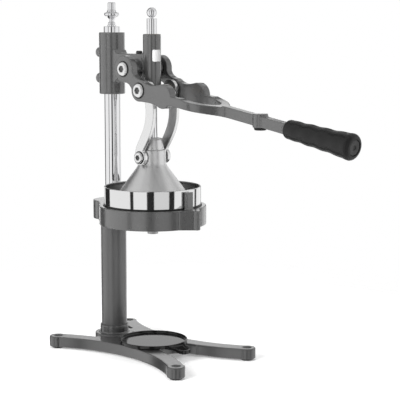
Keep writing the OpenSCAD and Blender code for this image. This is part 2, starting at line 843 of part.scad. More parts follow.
module lever() {
    color("dimgray") difference() {
        union() {
            intersection() {
                plate_xz(-fork_out, fork_out) fork_side();
                linear_extrude(fulcrum[1] + 2 * eye_r) fork_plan();
            }
            both_sides() pin_y(crank_pivot, crank_boss_d, crank_boss_in, fork_in + 1);
            on_bar() {
                translate([0, -bar_w / 2, -bar_h / 2]) cube([bar_len, bar_w, bar_h]);
                rotate([0, 90, 0]) cylinder(d = tang_d, h = bar_len + grip_len - cap_t - 3);
                translate([bar_len - grip_collar_t, 0, 0]) rotate([0, 90, 0])
                    cylinder(d = grip_collar_d, h = grip_collar_t);
            }
            translate([bar_boss_at[0], 0, bar_boss_foot]) cylinder(d = bar_boss_d, h = bar_boss_h);
        }
        pin_y(fulcrum, fulcrum_d + 2 * bush_wall + 2 * seat_gap, -fork_out - 1, fork_out + 1);
        both_sides() pin_y(crank_pivot, crank_d + 2 * seat_gap, crank_boss_in - 1, fork_out + 1);
    }
}

module lever_bumper() {
    color("black") translate([bar_boss_at[0], 0, bar_boss_foot - bumper_t])
        cylinder(d = bumper_d, h = bumper_t);
}

module lever_bushes() {
    color("goldenrod") both_sides() difference() {
        pin_y(fulcrum, fulcrum_d + 2 * bush_wall, fork_in, fork_out);
        pin_y(fulcrum, fulcrum_d + 2 * fit_gap, fork_in - 1, fork_out + 1);
    }
}

module crank_screws() {
    color("silver") both_sides()
        button_screw(crank_pivot, button_d, button_h, crank_d, fork_out, crank_boss_in);
}

module hand_grip() {
    near = grip_d_near / 2;
    far = grip_d / 2;
    bore = tang_d / 2 + seat_gap;
    color("black") on_bar() translate([bar_len, 0, 0]) rotate([0, 90, 0]) difference() {
        rotate_extrude() polygon(concat([[bore, 0]],
            curve([grip_collar_d / 2, 0], [near - 1, 0], [near, 2], [near, 7], 6),
            curve([near + 0.8, 20], [near + 1.5, grip_len * 0.4], [far - 3, grip_len * 0.55],
                [far - 0.6, grip_len * 0.84], 8),
            curve([far, grip_len * 0.92], [far, grip_len - 2], [far - 2, grip_len], [far - 5, grip_len], 8),
            [[bore, grip_len]]));
        translate([0, 0, grip_len - cap_t - 0.5]) cylinder(d = cap_d + 2 * seat_gap, h = cap_t + 1);
    }
}

module grip_end_cap() {
    dimple = 3;
    color("dimgray") on_bar() translate([bar_len + grip_len - cap_t - 0.5, 0, 0]) rotate([0, 90, 0])
        difference() {
            cylinder(d = cap_d, h = cap_t);
            translate([0, 0, cap_t - 1]) cylinder(d = 2 * dimple, h = 2);
        }
}

// ---- links ----

// Side view of a link: a band that swings forward between two eyes and
// grows wider on its way up
module link_outline() {
    steps = 24;
    widen = 1.3;
    low_handle = low_pivot + [-link_bow / 2, link_rise * 0.16];
    high_handle = crank_pivot + [link_bow, -link_rise * 0.61];
    line = curve(low_pivot, low_handle, high_handle, crank_pivot, steps);
    function edge(side) = [for (i = [1:steps - 1])
        let (run = line[i + 1] - line[i - 1],
            half = (link_w_low + (link_w - link_w_low) * min(1, widen * i / steps)) / 2)
        line[i] + side * half * [run[1], -run[0]] / norm(run)];
    far = edge(-1);
    polygon(concat([low_pivot], edge(1), [crank_pivot], [for (i = [len(far) - 1:-1:0]) far[i]]));
    translate(low_pivot) circle(r = link_eye_r);
    translate(crank_pivot) circle(r = link_top_r);
}

module link_plate() {
    bush_bore = pivot_d + 4 + 2 * seat_gap;
    difference() {
        plate_xz(link_in, link_out) link_outline();
        for (p = [low_pivot, crank_pivot]) pin_y(p, bush_bore, link_in - 1, link_out + 1);
    }
}

module link_left() {
    color("silver") link_plate();
}

module link_right() {
    color("silver") mirror([0, 1, 0]) link_plate();
}

module link_bushes() {
    color("goldenrod") both_sides() for (p = [low_pivot, crank_pivot]) difference() {
        pin_y(p, pivot_d + 4, link_in, link_out);
        pin_y(p, pivot_d + 2 * fit_gap, link_in - 1, link_out + 1);
    }
}

module link_screws() {
    color("silver") both_sides() button_screw(low_pivot, low_button_d, low_button_h, pivot_d,
        low_head_in, plunger_d / 2 + 1);
}

// ---- drip tray ----

tray_x = column_x + boss_r + tray_gap + tray_r;
tray_tab_root = tray_r - 8;

// Outline of the finger tab with its flared root, drawn in from its edge by inset
module tray_tab_outline(inset) {
    flare = 12;
    half = tray_tab_half - inset;
    tip = tray_tab - tray_tab_half;
    edge = curve([tray_tab_root, half + flare], [tray_r + 2, half + flare / 3],
        [tip - flare / 2, half], [tip, half], 10);
    polygon(concat(edge, flipped(edge)));
    translate([tip, 0]) circle(r = half);
}

// Side view of the tab's fall from a height in the tray
function tab_fall(z) = curve([tray_tab_root, z], [tray_r + 4, z],
    [tray_tab - tray_tab_half, z - tray_tab_drop], [tray_tab, z - tray_tab_drop], 10);

// The part of the tab between two heights in the tray
module tray_tab_solid(inset, low, high) {
    top = tab_fall(high);
    intersection() {
        translate([0, 0, -tray_tab_drop - 1]) linear_extrude(high + tray_tab_drop + 2) tray_tab_outline(inset);
        plate_xz(-tray_r, tray_r)
            polygon(concat(tab_fall(low), [for (i = [len(top) - 1:-1:0]) top[i]]));
    }
}

module drip_tray() {
    color("black") translate([tray_x, 0, base_top]) difference() {
        union() {
            cylinder(r = tray_r, h = tray_h);
            tray_tab_solid(0, 0, tray_h);
        }
        translate([0, 0, tray_wall]) cylinder(r = tray_r - tray_wall, h = tray_h);
        difference() {
            tray_tab_solid(tray_tab_wall, tray_wall + 1, tray_h + 1);
            cylinder(r = tray_r, h = tray_h + 2);
        }
    }
}

base_casting();
foot_pads();
tie_bolt();
tie_washer();
column_tube();
post_rod();
post_finial();
cup_holder();
holder_set_screw();
juice_cup();
cup_nozzle();
strainer();
reamer();
cone_rim();
press_cone();
cone_collar();
plunger_rod();
plunger_ball();
head_bracket();
clamp_screws();
guide_bush_upper();
guide_bush_lower();
fulcrum_pin();
fulcrum_screws();
fulcrum_lock_screw();
lever();
lever_bushes();
crank_screws();
link_left();
link_right();
link_bushes();
link_screws();
lever_bumper();
hand_grip();
grip_end_cap();
drip_tray();
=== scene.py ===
import json
import math

import bmesh
import bpy
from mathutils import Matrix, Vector


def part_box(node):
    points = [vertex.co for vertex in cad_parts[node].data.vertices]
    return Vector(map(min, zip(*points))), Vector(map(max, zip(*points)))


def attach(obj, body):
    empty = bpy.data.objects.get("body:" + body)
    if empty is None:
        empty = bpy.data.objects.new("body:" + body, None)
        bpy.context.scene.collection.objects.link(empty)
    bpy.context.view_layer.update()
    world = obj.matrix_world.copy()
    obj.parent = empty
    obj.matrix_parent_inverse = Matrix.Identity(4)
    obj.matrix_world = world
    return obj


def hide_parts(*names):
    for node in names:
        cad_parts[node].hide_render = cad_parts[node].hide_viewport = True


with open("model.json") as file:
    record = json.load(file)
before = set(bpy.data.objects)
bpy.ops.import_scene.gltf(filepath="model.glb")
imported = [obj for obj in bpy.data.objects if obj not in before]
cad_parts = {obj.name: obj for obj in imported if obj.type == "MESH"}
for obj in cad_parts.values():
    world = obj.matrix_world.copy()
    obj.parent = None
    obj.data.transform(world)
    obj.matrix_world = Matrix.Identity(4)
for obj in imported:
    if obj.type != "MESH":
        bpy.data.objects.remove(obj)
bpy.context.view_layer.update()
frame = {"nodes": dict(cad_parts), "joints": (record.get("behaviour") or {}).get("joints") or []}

MM = 0.001
UP = Vector((0, 0, 1))
SIDES = (-1, 1)

# ---- places that several pieces share, read from the frame ----


def extent(node):
    """Lowest and highest corner of a CAD node, in millimetres."""
    low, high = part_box(node)
    return low / MM, high / MM


def middle(node):
    """Centre of a CAD node's box, in millimetres."""
    low, high = extent(node)
    return (low + high) / 2


COLUMN = middle("post_rod").xy
CUP = middle("juice_cup").xy
JOINTS = {joint["name"]: joint for joint in frame["joints"]}
FULCRUM = Vector(JOINTS["lever_pivot"]["pos_m"]) / MM
LOW_PIVOT = Vector(JOINTS["link_swing"]["pos_m"]) / MM
CRANK = middle("crank_screws")

# The grip's axis runs down the lever bar, and its cap lies near the far end
BAR_SLOPE = math.radians(9.2)
BAR_AXIS = Vector((math.cos(BAR_SLOPE), 0, -math.sin(BAR_SLOPE)))
GRIP_LENGTH = 117
CAP_MIDDLE = 114.75
GRIP_NEAR = middle("grip_end_cap") - BAR_AXIS * CAP_MIDDLE

# ---- mesh helpers ----


def polygon_reach(angle, sides):
    """Distance to the edge of a regular polygon whose corners lie at 1."""
    step = 2 * math.pi / sides
    return math.cos(step / 2) / math.cos(angle % step - step / 2)


def eased(profile, size, closed=False, least=20):
    """Rounds each corner of a profile that turns by more than least degrees."""
    steps = 3
    most_of_side = 0.45
    result = []
    for i, point in enumerate(profile):
        at_end = not closed and i in (0, len(profile) - 1)
        here = Vector(point[:2])
        back = Vector(profile[i - 1][:2]) - here
        ahead = Vector(profile[(i + 1) % len(profile)][:2]) - here
        if at_end or back.length == 0 or ahead.length == 0:
            result.append(point)
            continue
        if math.degrees(back.angle(-ahead)) < least:
            result.append(point)
            continue
        cut = min(size, back.length * most_of_side, ahead.length * most_of_side)
        first = here + back.normalized() * cut
        last = here + ahead.normalized() * cut
        for k in range(steps + 1):
            t = k / steps
            spot = first * (1 - t) ** 2 + here * 2 * t * (1 - t) + last * t * t
            result.append((spot.x, spot.y, *point[2:]))
    return result


def arc(centre, radius, start, end, steps=12):
    """Points (radius, height) on an arc of a profile, angles in degrees."""
    angles = [math.radians(start + (end - start) * k / steps) for k in range(steps + 1)]
    return [(centre[0] + radius * math.cos(a), centre[1] + radius * math.sin(a)) for a in angles]


def spin(bm, profile, foot, axis=UP, closed=False, segments=96):
    """Turns a profile of (radius, height) points about an axis through foot.

    A third value makes that ring a polygon with so many sides.
    """
    side = Vector((0, 1, 0)) if abs(axis.y) < 0.5 else Vector((1, 0, 0))
    across = axis.cross(side).normalized()
    rings = []
    for radius, height, *form in profile:
        centre = (Vector(foot) + axis * height) * MM
        if radius < 1e-6:
            rings.append([bm.verts.new(centre)])
            continue
        ring = []
        for k in range(segments):
            angle = 2 * math.pi * k / segments
            reach = radius * MM * (polygon_reach(angle, form[0]) if form else 1)
            ring.append(bm.verts.new(centre + (side * math.cos(angle) + across * math.sin(angle)) * reach))
        rings.append(ring)
    pairs = list(zip(rings, rings[1:]))
    if closed:
        pairs.append((rings[-1], rings[0]))
    for lower, upper in pairs:
        for k in range(segments):
            n = (k + 1) % segments
            below = [lower[k % len(lower)], lower[n % len(lower)]]
            above = [upper[n % len(upper)], upper[k % len(upper)]]
            corners = list(dict.fromkeys(below + above))
            if len(corners) > 2:
                bm.faces.new(corners)


def finished(name, bm, body, slot, material, *nodes, sharp=38, second=None, where=None):
    """Makes a shown piece from a mesh, rides it on a body and hides the nodes it stands for.

    The faces that where picks, by centre in millimetres and normal, get the second material.
    """
    bmesh.ops.recalc_face_normals(bm, faces=bm.faces)
    if where:
        for face in bm.faces:
            face.material_index = int(where(face.calc_center_median() / MM, face.normal))
    mesh = bpy.data.meshes.new(name)
    bm.to_mesh(mesh)
    bm.free()
    mesh.materials.append(material)
    if second:
        mesh.materials.append(second)
    mesh.shade_smooth()
    mesh.set_sharp_from_angle(angle=math.radians(sharp))
    piece = bpy.data.objects.new(name, mesh)
    bpy.context.scene.collection.objects.link(piece)
    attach(piece, body)
    if nodes:
        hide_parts(*nodes)


def softened(bm, voxel, passes):
    """Remeshes closed solids into one skin and rounds its edges as a casting's are."""
    mesh = bpy.data.meshes.new("rough")
    bm.to_mesh(mesh)
    bm.free()
    rough = bpy.data.objects.new("rough", mesh)
    bpy.context.scene.collection.objects.link(rough)
    skin = rough.modifiers.new("skin", "REMESH")
    skin.mode = "VOXEL"
    skin.voxel_size = voxel * MM
    ease = rough.modifiers.new("ease", "SMOOTH")
    ease.factor = 0.5
    ease.iterations = passes
    depsgraph = bpy.context.evaluated_depsgraph_get()
    result = bmesh.new()
    result.from_mesh(rough.evaluated_get(depsgraph).to_mesh())
    bpy.data.objects.remove(rough)
    bpy.data.meshes.remove(mesh)
    return result


def from_node(node):
    """A copy of a CAD node's mesh to work on."""
    bm = bmesh.new()
    bm.from_mesh(frame["nodes"][node].data)
    bmesh.ops.remove_doubles(bm, verts=bm.verts, dist=1e-6)
    return bm


# ---- materials ----


def start_material(name):
    """A new material's node tree, its Principled shader and its object coordinates."""
    material = bpy.data.materials.new(name)
    material.use_nodes = True
    tree = material.node_tree
    place = tree.nodes.new("ShaderNodeTexCoord").outputs["Object"]
    return material, tree, tree.nodes["Principled BSDF"], place


def noise(tree, place, grain, detail=3.0, stretch=(1, 1, 1)):
    """Noise whose lumps are about grain millimetres across."""
    mapping = tree.nodes.new("ShaderNodeMapping")
    mapping.inputs["Scale"].default_value = stretch
    tree.links.new(place, mapping.inputs["Vector"])
    texture = tree.nodes.new("ShaderNodeTexNoise")
    texture.inputs["Scale"].default_value = 1 / (grain * MM)
    texture.inputs["Detail"].default_value = detail
    tree.links.new(mapping.outputs["Vector"], texture.inputs["Vector"])
    return texture.outputs["Fac"]


def spread(tree, factor, low, high):
    """Maps a noise's middle range onto low to high."""
    node = tree.nodes.new("ShaderNodeMapRange")
    node.inputs["From Min"].default_value = 0.3
    node.inputs["From Max"].default_value = 0.7
    node.inputs["To Min"].default_value = low
    node.inputs["To Max"].default_value = high
    tree.links.new(factor, node.inputs["Value"])
    return node.outputs["Result"]


def tint(tree, factor, dark, light):
    """A colour that moves between two shades with a factor."""
    node = tree.nodes.new("ShaderNodeMix")
    node.data_type = "RGBA"
    node.inputs["A"].default_value = (*dark, 1)
    node.inputs["B"].default_value = (*light, 1)
    tree.links.new(factor, node.inputs["Factor"])
    return node.outputs["Result"]


def relief(tree, shader, *layers):
    """Bumps of (factor, height in millimetres), one over the other."""
    normal = None
    for factor, height in layers:
        bump = tree.nodes.new("ShaderNodeBump")
        bump.inputs["Distance"].default_value = height * MM
        bump.inputs["Strength"].default_value = 1
        tree.links.new(factor, bump.inputs["Height"])
        if normal:
            tree.links.new(normal, bump.inputs["Normal"])
        normal = bump.outputs["Normal"]
    tree.links.new(normal, shader.inputs["Normal"])


def ring_grain(tree, place, centre, grain):
    """Noise in fine rings round a vertical axis, as a lathe leaves it."""
    shift = tree.nodes.new("ShaderNodeVectorMath")
    shift.inputs[1].default_value = (-centre[0] * MM, -centre[1] * MM, 0)
    tree.links.new(place, shift.inputs[0])
    split = tree.nodes.new("ShaderNodeSeparateXYZ")
    tree.links.new(shift.outputs["Vector"], split.inputs["Vector"])
    flat = tree.nodes.new("ShaderNodeCombineXYZ")
    tree.links.new(split.outputs["X"], flat.inputs["X"])
    tree.links.new(split.outputs["Y"], flat.inputs["Y"])
    length = tree.nodes.new("ShaderNodeVectorMath")
    length.operation = "LENGTH"
    tree.links.new(flat.outputs["Vector"], length.inputs[0])
    rings = tree.nodes.new("ShaderNodeCombineXYZ")
    tree.links.new(length.outputs["Value"], rings.inputs["X"])
    tree.links.new(split.outputs["Z"], rings.inputs["Z"])
    return noise(tree, rings.outputs["Vector"], grain, 2)


def painted(name, shade, roughness=0.3, peel=0.006, gloss=0.2):
    """Grey metallic enamel on a casting: slight orange peel, and paler on convex edges as a painted
    highlight.
    """
    cloud_grain, polish_grain, wave_grain, peel_grain = 22, 6, 12, 1.6
    edge_highlight_colour = shade * 1.8
    material, tree, shader, place = start_material(name)
    shader.inputs["Metallic"].default_value = 0.55
    shader.inputs["Coat Weight"].default_value = 1
    shader.inputs["Coat IOR"].default_value = 1.62
    shader.inputs["Coat Roughness"].default_value = gloss
    film = tint(tree, noise(tree, place, cloud_grain), [shade * 0.95] * 3, [shade * 1.05] * 3)
    # Pointiness makes convex edges paler: a painted highlight along the edges.
    edges = tree.nodes.new("ShaderNodeNewGeometry").outputs["Pointiness"]
    edge_highlight = tree.nodes.new("ShaderNodeMapRange")
    edge_highlight.inputs["From Min"].default_value = 0.53
    edge_highlight.inputs["From Max"].default_value = 0.64
    edge_highlight.inputs["To Max"].default_value = 0.25
    tree.links.new(edges, edge_highlight.inputs["Value"])
    mix = tree.nodes.new("ShaderNodeMix")
    mix.data_type = "RGBA"
    mix.inputs["B"].default_value = (edge_highlight_colour, edge_highlight_colour, edge_highlight_colour, 1)
    tree.links.new(edge_highlight.outputs["Result"], mix.inputs["Factor"])
    tree.links.new(film, mix.inputs["A"])
    tree.links.new(mix.outputs["Result"], shader.inputs["Base Color"])
    polish = spread(tree, noise(tree, place, polish_grain), roughness - 0.03, roughness + 0.04)
    tree.links.new(polish, shader.inputs["Roughness"])
    relief(tree, shader, (noise(tree, place, wave_grain), 0.02), (noise(tree, place, peel_grain, 1), peel))
    return material


def metal(name, shade, roughness, grain=3.0, depth=0.002):
    """Bare metal whose polish varies a little from place to place."""
    change = 0.03
    material, tree, shader, place = start_material(name)
    shader.inputs["Metallic"].default_value = 1
    cloud = noise(tree, place, grain)
    tree.links.new(tint(tree, cloud, [c * (1 - change) for c in shade], shade), shader.inputs["Base Color"])
    tree.links.new(spread(tree, cloud, roughness * 0.8, roughness * 1.25), shader.inputs["Roughness"])
    relief(tree, shader, (noise(tree, place, grain), depth))
    return material


def turned_metal(name, shade, roughness, centre, grain, depth, change=0.1):
    """Metal with fine lathe rings round a vertical axis."""
    material, tree, shader, place = start_material(name)
    shader.inputs["Metallic"].default_value = 1
    rings = ring_grain(tree, place, centre, grain)
    tree.links.new(tint(tree, rings, [c * (1 - change) for c in shade], shade), shader.inputs["Base Color"])
    tree.links.new(spread(tree, rings, roughness * 0.85, roughness * 1.2), shader.inputs["Roughness"])
    relief(tree, shader, (rings, depth), (noise(tree, place, 12), depth * 2))
    return material


def brushed_metal(name, shade, roughness):
    """Linished flat steel: short scratches that run along the link."""
    material, tree, shader, place = start_material(name)
    shader.inputs["Metallic"].default_value = 1
    scratches = noise(tree, place, 0.5, 3, (1, 1, 0.06))
    tree.links.new(tint(tree, scratches, [c * 0.92 for c in shade], shade), shader.inputs["Base Color"])
    tree.links.new(spread(tree, scratches, roughness * 0.85, roughness * 1.2), shader.inputs["Roughness"])
    relief(tree, shader, (scratches, 0.004))
    return material


def rubber(name, shade, roughness):
    """Moulded black rubber with a fine matt texture."""
    material, tree, shader, place = start_material(name)
    shader.inputs["Specular IOR Level"].default_value = 0.4
    cloud = noise(tree, place, 14)
    tree.links.new(tint(tree, cloud, [shade * 0.8] * 3, [shade * 1.25] * 3), shader.inputs["Base Color"])
    tree.links.new(spread(tree, cloud, roughness - 0.05, roughness + 0.06), shader.inputs["Roughness"])
    relief(tree, shader, (noise(tree, place, 0.5, 2), 0.02))
    return material


def plastic(name, shade, roughness):
    """Glossy moulded plastic with faint flow marks."""
    material, tree, shader, place = start_material(name)
    cloud = noise(tree, place, 18)
    tree.links.new(tint(tree, cloud, [shade * 0.85] * 3, [shade * 1.15] * 3), shader.inputs["Base Color"])
    tree.links.new(spread(tree, cloud, roughness, roughness * 1.6), shader.inputs["Roughness"])
    relief(tree, shader, (noise(tree, place, 16, 1), 0.02))
    return material


PAINT = painted("grey enamel", 0.094)
PAINT_BASE = painted("grey enamel on the base", 0.068, 0.36, 0.006)
PAINT_COLUMN = painted("grey enamel on the column", 0.088, 0.42, 0.008, 0.34)
PAINT_SCREW = painted("grey enamel on screws", 0.14, 0.32)
CHROME = metal("chrome plate", (0.82, 0.82, 0.83), 0.045, 30, 0.001)
BRIGHT = metal("polished stainless steel", (0.84, 0.84, 0.84), 0.16, 4, 0.002)
CUP_STEEL = turned_metal("mirror stainless sheet", (0.78, 0.78, 0.78), 0.07, CUP, 0.35, 0.0008, 0.05)
STRAINER_STEEL = metal("stainless strainer", (0.6, 0.6, 0.6), 0.3)
# Satin steel, with a base colour darkened as painted shade; used inside the cup and on the nozzle.
SATIN_STEEL_WITH_SHADE = turned_metal("satin steel darkened with painted shade", (0.42, 0.42, 0.42), 0.34, CUP, 0.5, 0.002)
CONE_METAL = turned_metal("satin cast aluminium", (0.78, 0.78, 0.78), 0.38, CUP, 0.6, 0.003)
LINK_METAL = brushed_metal("linished steel", (0.84, 0.84, 0.84), 0.24)
# Painted shade: the links' inner faces are darker than their outer faces, and a little rougher.
LINK_INNER_SHADE = brushed_metal("painted shade on the inner face of a link", (0.38, 0.38, 0.38), 0.34)
# Painted shade: dark metal on the floor of each hex socket, where the socket's shadow falls.
SOCKET_SHADE = metal("shadowed screw socket", (0.15, 0.15, 0.15), 0.4)
ZINC = metal("zinc plate", (0.55, 0.55, 0.55), 0.34)
BRONZE = metal("bronze", (0.62, 0.42, 0.18), 0.3)
BLACK_STEEL = plastic("blackened steel", 0.02, 0.3)
RUBBER = rubber("black rubber", 0.004, 0.36)
GLOSS_BLACK = plastic("black moulded plastic", 0.006, 0.07)
LABEL_WHITE = plastic("blank white label", 0.82, 0.32)

# ---- castings ----


def casting(name, node, body, voxel, passes, material, slot="painted_casting", **faces):
    """A CAD casting with the soft edges that the mould and the paint leave."""
    skin = softened(from_node(node), voxel, passes)
    finished(name, skin, body, slot, material, node, sharp=180, **faces)


def make_castings():
    casting("base_casting_soft", "base_casting", "frame", 1.0, 7, PAINT_BASE)
    casting("cup_holder_soft", "cup_holder", "frame", 1.0, 7, PAINT)
    casting("head_bracket_soft", "head_bracket", "head", 0.9, 8, PAINT)
    casting("lever_soft", "lever", "lever", 0.9, 8, PAINT)
    for side in ("left", "right"):
        node = f"link_{side}"
        # The inner faces, which face the middle plane, get the painted shade material.
        casting(
            f"{node}_soft", node, "links", 0.6, 4, LINK_METAL, "brushed_stainless", second=LINK_INNER_SHADE,
            where=lambda spot, normal: spot.y * normal.y < 0 and abs(normal.y) > 0.8)


# ---- column, post and finial ----


def tube_profile(inner, outer, bottom, top, ease):
    """Closed half section of a tube with rounded edges."""
    corners = [(inner, bottom), (outer, bottom), (outer, top), (inner, top)]
    return eased(corners, ease, closed=True)


def make_column():
    low, high = extent("column_tube")
    bore = 12.55
    bm = bmesh.new()
    tube = tube_profile(bore, (high.x - low.x) / 2, low.z, high.z, 0.8)
    spin(bm, tube, (*COLUMN, 0), closed=True, segments=128)
    finished("column_tube_turned", bm, "frame", "painted_casting", PAINT_COLUMN, "column_tube")


def make_post():
    low, high = extent("post_rod")
    radius = (high.x - low.x) / 2
    bore = 4.1
    bm = bmesh.new()
    spin(bm, tube_profile(bore, radius, low.z, high.z, 1), (*COLUMN, 0), closed=True, segments=128)
    finished("post_rod_turned", bm, "frame", "chromed_steel", CHROME, "post_rod")


def make_finial():
    top = extent("post_rod")[1].z
    tip = extent("post_finial")[1].z - top
    disc = (extent("post_finial")[1].x - extent("post_finial")[0].x) / 2
    collar, neck, stub = 6.2, 4.1, 6.0
    thread, thread_end, seat = 3.9, -11, 0.05
    profile = [(0, thread_end), (thread, thread_end), (thread, seat)]
    profile += [(collar + 0.6, seat), (collar + 0.6, 2.2), (neck + 0.5, 3.2)]
    profile += arc((neck, 5.0), 1.6, -70, 70, 6)
    profile += [(neck - 0.3, 7.2), (neck, 11.0), (collar, 13.4), (disc - 3.6, 15.0)]
    profile += arc((disc - 2.6, 18.6), 2.6, -62, 62, 8)
    profile += [(disc - 4.2, 21.8), (stub + 0.9, 24.0), (stub, 25.6), (stub, tip - 1.6)]
    profile += arc((stub - 1.6, tip - 1.6), 1.6, 0, 90, 5) + [(0, tip)]
    bm = bmesh.new()
    spin(bm, eased(profile, 0.5), (*COLUMN, top), segments=96)
    finished("post_finial_turned", bm, "frame", "chromed_steel", CHROME, "post_finial")


# ---- cup and press cone ----

# Thickness of the sheet that the cup and its nozzle are made of
CUP_SHEET = 1.2


def make_cup():
    low, high = extent("juice_cup")
    outer = (high.x - low.x) / 2
    shelf = 8
    mouth = 8.22
    fall = 16
    floor_z = low.z + fall
    bead = 1.1
    profile = [(mouth, low.z), (outer - shelf, floor_z), (outer, floor_z), (outer, high.z - 0.6)]
    profile += arc((outer - bead, high.z - bead), bead, 0, 200, 10)
    profile += [
        (outer - CUP_SHEET, high.z - 4), (outer - CUP_SHEET, floor_z + CUP_SHEET),
        (outer - shelf, floor_z + CUP_SHEET), (mouth, low.z + CUP_SHEET)]
    bm = bmesh.new()
    spin(bm, eased(profile, 1.2, closed=True), (*CUP, 0), closed=True, segments=192)

    # The cup's inside gets the satin steel darkened with painted shade.
    def is_inside(spot, normal):
        reach = (spot.xy - CUP).length
        return spot.z > floor_z and reach < outer - CUP_SHEET * 0.9

    finished(
        "juice_cup_turned", bm, "frame", "brushed_stainless", CUP_STEEL, "juice_cup", second=SATIN_STEEL_WITH_SHADE,
        where=is_inside)


def make_nozzle():
    low, high = extent("cup_nozzle")
    outer = (high.x - low.x) / 2
    bm = bmesh.new()
    pipe = tube_profile(outer - CUP_SHEET, outer, low.z, high.z, 0.5)
    spin(bm, pipe, (*CUP, 0), closed=True, segments=96)
    # The nozzle gets the darkened satin steel: painted shade.
    finished("cup_nozzle_turned", bm, "frame", "brushed_stainless", SATIN_STEEL_WITH_SHADE, "cup_nozzle")


def make_cup_gap_shade():
    """A black ring that stands for the shadow in the gap between the cup and its holder: painted shade, shown
    as a line.
    """
    low, high = extent("juice_cup")
    outer = (high.x - low.x) / 2
    holder_ring_h = 29
    ring_top = extent("cup_holder")[0].z + holder_ring_h
    near, far = outer + 0.05, outer + 0.85
    depth, stand = 3, 2.3
    bm = bmesh.new()
    profile = tube_profile(near, far, ring_top - depth, ring_top + stand, 0.35)
    spin(bm, profile, (*CUP, 0), closed=True, segments=192)
    # Painted shade: a dark ring in the slack round the cup's foot.
    finished("cup_gap_shade_ring", bm, "frame", "black_rubber", RUBBER)


def make_cone():
    low = extent("cone_rim")[0]
    high = extent("cone_collar")[1]
    rim = (extent("cone_rim")[1].x - low.x) / 2
    wall, crown = 5, 3
    skirt_h, slope_h, collar_h = 12, 53.6, 23.3
    collar, rod = 20.6, 7.77
    skirt_top = low.z + skirt_h
    shoulder = skirt_top + slope_h
    collar_top = shoulder + collar_h
    slope = (rim - collar) / (shoulder - skirt_top)
    hollow_top = shoulder - wall - crown
    hollow = collar + slope * (wall + crown) - wall * math.hypot(1, slope)
    outside = [(rim - wall, low.z), (rim, low.z), (rim, skirt_top)]
    outside += [(collar + slope * drop, shoulder - drop) for drop in (12, 5)]
    outside += [(collar + 1.6, shoulder - 1.0), (collar + 0.35, shoulder + 1.6), (collar, shoulder + 5)]
    outside += [(collar, collar_top - 1.2), (collar - 0.9, collar_top)]
    neck = [
        (collar - 3.1, collar_top), (collar - 3.1, collar_top + 0.6), (collar - 4.9, high.z - 3.2),
        (collar - 5.6, high.z - 1), (collar - 7.6, high.z), (rod + 2.2, high.z), (rod + 1.6, high.z - 1.2),
        (rod, high.z - 1.6)]
    inside = [(rod, hollow_top + 9), (rod, hollow_top), (hollow, hollow_top), (rim - wall, skirt_top - 1)]
    bm = bmesh.new()
    spin(bm, eased(outside + neck + inside, 0.9, closed=True), (*CUP, 0), closed=True, segments=192)
    boss, bore = 9.25, 5.02
    root, bore_floor, face = 12, 12.5, collar + 0.2
    for side in SIDES:
        lug = [(0, root), (boss, root), (boss, face), (bore, face), (bore, bore_floor), (0, bore_floor)]
        spin(bm, eased(lug, 0.6), LOW_PIVOT, Vector((0, side, 0)), segments=64)
    finished(
        "press_cone_turned", bm, "press", "satin_aluminium", CONE_METAL, "cone_rim", "press_cone",
        "cone_collar")


def make_plunger():
    low, high = extent("plunger_rod")
    radius = (high.x - low.x) / 2
    bm = bmesh.new()
    profile = eased([(0, low.z), (radius, low.z), (radius, high.z), (0, high.z)], 0.9)
    spin(bm, profile, (*CUP, 0), segments=96)
    finished("plunger_rod_turned", bm, "press", "chromed_steel", CHROME, "plunger_rod")

    ball_low, ball_high = extent("plunger_ball")
    ball = (ball_high.x - ball_low.x) / 2
    centre = ball_high.z - ball
    stem = 3.0
    stem_top, ball_from = high.z + 0.6, high.z + 1.2
    undercut = -66
    lowest = max(math.degrees(math.asin((ball_from - centre) / ball)), undercut)
    profile = [(0, ball_low.z), (stem, ball_low.z), (stem, stem_top)]
    profile += arc((0, centre), ball, lowest, 90, 24)
    profile[-1] = (0, ball_high.z)
    bm = bmesh.new()
    spin(bm, profile, (*CUP, 0), segments=72)
    finished("plunger_ball_turned", bm, "press", "chromed_steel", CHROME, "plunger_ball")


# ---- screws ----

# A socket's reach to its corners as a share of the head's radius
SOCKET_SHARE = 0.5


def button_profile(head, height, shank, length):
    """A domed head over a hexagon socket, from the shank's tip to the socket's floor."""
    socket = head * SOCKET_SHARE
    bevel = 0.4
    profile = [(0, -length), (shank - bevel, -length), (shank, bevel - length), (shank, 0), (head, 0)]
    profile += [
        (head, height * 0.3), (head * 0.985, height * 0.5), (head * 0.93, height * 0.72),
        (head * 0.83, height * 0.9), (head * 0.72, height * 0.985), (head * 0.62, height)]
    profile += [
        (socket + 0.5, height), (socket, height - bevel, 6), (socket, height * 0.3, 6), (0, height * 0.15)]
    return profile


def side_screws(pivot, node, head, height, shank, tip, body):
    """The same screw on both sides of the middle plane, its seat worked out from its CAD node.

    The head and the shank are given by radius, and the tip by its distance from the middle plane.
    """
    seat = extent(node)[1].y - height
    bm = bmesh.new()
    for side in SIDES:
        foot = Vector((pivot.x, side * seat, pivot.z))
        profile = eased(button_profile(head, height, shank, seat - tip), 0.4, least=30)
        spin(bm, profile, foot, Vector((0, side, 0)), segments=72)

    # The socket floors get the painted shade material.
    def is_socket(spot, normal):
        reach = math.hypot(spot.x - pivot.x, spot.z - pivot.z)
        low_in_head = seat < abs(spot.y) < seat + height / 2
        return reach < head * SOCKET_SHARE and abs(normal.y) > 0.5 and low_in_head

    finished(
        f"{node}_domed", bm, body, "polished_stainless", BRIGHT, node, sharp=32, second=SOCKET_SHADE,
        where=is_socket)


